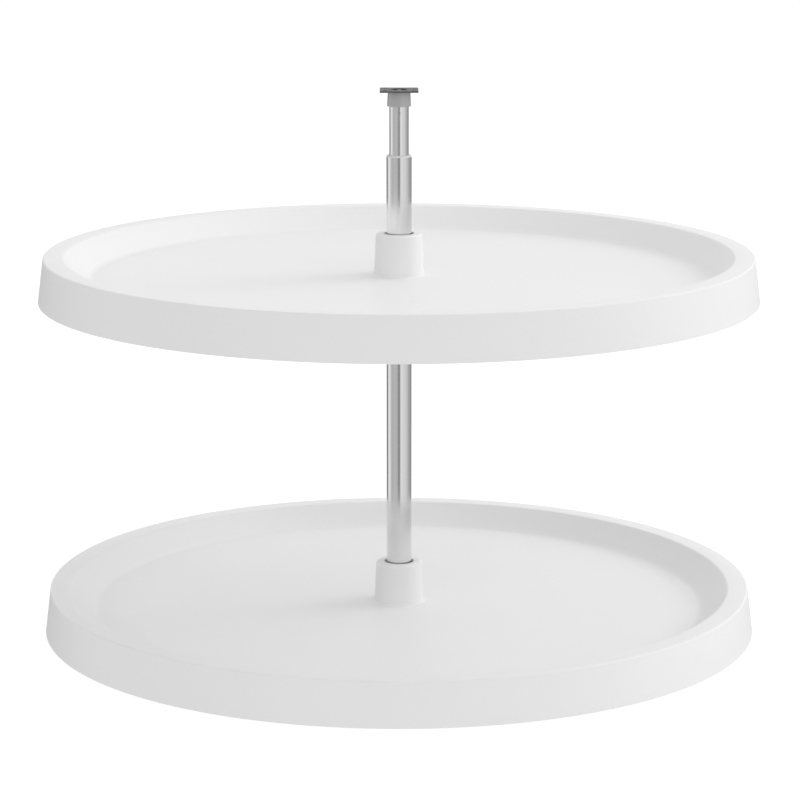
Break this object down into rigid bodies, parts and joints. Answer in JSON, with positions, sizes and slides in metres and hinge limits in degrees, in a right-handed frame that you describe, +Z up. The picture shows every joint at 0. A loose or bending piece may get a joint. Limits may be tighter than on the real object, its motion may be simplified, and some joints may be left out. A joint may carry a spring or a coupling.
{
  "type": "rotating corner cupboard shelf unit",
  "caption": "Full-round revolving shelves for a corner cupboard: moulded round trays that turn on a telescopic steel post between a floor plate and a ceiling plate.",
  "frame": {"origin": "centre of the floor plate's underside, on the post's axis", "axes": "+Z up along the post, -Y to the front, +X to the right when seen from the front"},
  "size_m": [0.714, 0.714, 0.5701],
  "materials": {
    "white_plastic": "smooth moulded, satin sheen",
    "chrome_tube": "polished chrome plate",
    "grey_plastic": "moulded, fine matt",
    "dark_plastic": "moulded, matt",
    "natural_plastic": "moulded, natural white",
    "floor_plate_steel": "dark zinc plate",
    "ceiling_plate_steel": "dark zinc plate",
    "rivet_steel": "bright zinc plate",
    "screw_steel": "blackened",
    "race_steel": "pressed, bright",
    "ball_steel": "ground and polished",
    "collar_zinc": "die-cast, satin"
  },
  "bodies": {
    "post": {"base_plate": "floor_plate_steel", "base_socket": "dark_plastic", "base_rivets": "rivet_steel", "base_set_screw": "screw_steel", "outer_tube": "chrome_tube", "guide_bush": "natural_plastic", "tube_lock_screw": "screw_steel", "lower_seat_race": "race_steel"},
    "lower_cage": {"lower_ball_cage": "natural_plastic", "lower_balls": "ball_steel"},
    "lower_shelf": {"lower_turning_race": "race_steel", "lower_hub_bush": "dark_plastic", "lower_tray": "white_plastic"},
    "upper_carrier": {"upper_collar": "collar_zinc", "collar_set_screw": "screw_steel", "upper_seat_race": "race_steel"},
    "upper_cage": {"upper_ball_cage": "natural_plastic", "upper_balls": "ball_steel"},
    "upper_shelf": {"upper_turning_race": "race_steel", "upper_hub_bush": "dark_plastic", "upper_tray": "white_plastic"},
    "inner_post": {"inner_tube": "chrome_tube", "inner_tube_glide": "dark_plastic", "cap_pin": "rivet_steel", "top_cap": "grey_plastic"},
    "ceiling_plate": {"rivet_washer": "rivet_steel", "pivot_rivet": "rivet_steel", "top_plate": "ceiling_plate_steel"}
  },
  "joints": [
    {"name": "lower_shelf_spin", "type": "hinge", "parent": "post", "child": "lower_shelf", "pos_m": [0, 0, 0.0733], "axis": [0, 0, 1], "continuous": true},
    {"name": "lower_cage_spin", "type": "hinge", "parent": "post", "child": "lower_cage", "pos_m": [0, 0, 0.03], "axis": [0, 0, 1], "continuous": true},
    {"name": "upper_shelf_height", "type": "slide", "parent": "post", "child": "upper_carrier", "axis": [0, 0, 1], "range_m": [-0.2, 0.06]},
    {"name": "upper_shelf_spin", "type": "hinge", "parent": "upper_carrier", "child": "upper_shelf", "pos_m": [0, 0, 0.4084], "axis": [0, 0, 1], "continuous": true},
    {"name": "upper_cage_spin", "type": "hinge", "parent": "upper_carrier", "child": "upper_cage", "pos_m": [0, 0, 0.3634], "axis": [0, 0, 1], "continuous": true},
    {"name": "post_extension", "type": "slide", "parent": "post", "child": "inner_post", "axis": [0, 0, 1], "range_m": [-0.047, 0.15]},
    {"name": "plate_swivel", "type": "hinge", "parent": "inner_post", "child": "ceiling_plate", "pos_m": [0, 0, 0.57005], "axis": [0, 0, 1], "continuous": true}
  ],
  "couplings": [
    {"joint": "lower_cage_spin", "follows": "lower_shelf_spin", "ratio": 0.5},
    {"joint": "upper_cage_spin", "follows": "upper_shelf_spin", "ratio": 0.5}
  ]
}
